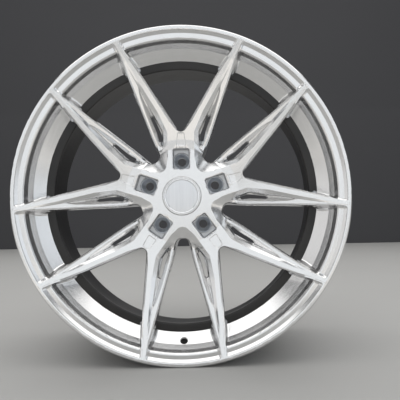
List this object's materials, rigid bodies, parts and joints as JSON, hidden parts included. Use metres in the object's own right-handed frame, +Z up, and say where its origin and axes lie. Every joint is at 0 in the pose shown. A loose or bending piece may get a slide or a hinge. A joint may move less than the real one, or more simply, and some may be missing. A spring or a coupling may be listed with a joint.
{
  "type": "wheel rim",
  "caption": "Forged two-part car wheel rim: brushed face with forked spokes, dark inner barrel bolted on behind, pressed lug seats, push-in centre cap; carries a tyre.",
  "frame": {"origin": "on the wheel's axis at the middle of its width", "axes": "+Y along the axis from the face to the back, +Z up through one arm, front faces -Y"},
  "size_m": [0.543, 0.267, 0.543],
  "materials": {
    "brushed_forging": "brushed along the spokes, turned on the lip, clear-coated",
    "black_barrel": "gloss dark powder coat over the whole barrel",
    "seal_rubber": "smooth",
    "plated_steel": "bright zinc",
    "insert_steel": "plain",
    "seat_steel": "turned and plated",
    "turned_aluminium": "turned",
    "cap_aluminium": "satin",
    "bezel_chrome": "bright",
    "badge_aluminium": "brushed",
    "carrier_plastic": "moulded",
    "spring_steel": "drawn wire"
  },
  "bodies": {
    "wheel": {"front_forging": "brushed_forging", "inner_barrel": "black_barrel", "barrel_seal": "seal_rubber", "barrel_bolts": "plated_steel", "bolt_washers": "plated_steel", "thread_inserts": "insert_steel", "lug_seat_1": "seat_steel", "lug_seat_2": "seat_steel", "lug_seat_3": "seat_steel", "lug_seat_4": "seat_steel", "lug_seat_5": "seat_steel", "spigot_ring": "turned_aluminium"},
    "centre_cap": {"cap_body": "cap_aluminium", "cap_bezel": "bezel_chrome", "cap_badge": "badge_aluminium", "cap_carrier": "carrier_plastic", "cap_spring_ring": "spring_steel", "cap_screws": "plated_steel"}
  },
  "joints": [
    {"name": "cap_pull", "type": "slide", "parent": "wheel", "child": "centre_cap", "axis": [0, -1, 0], "range_m": [0, 0.06]}
  ]
}
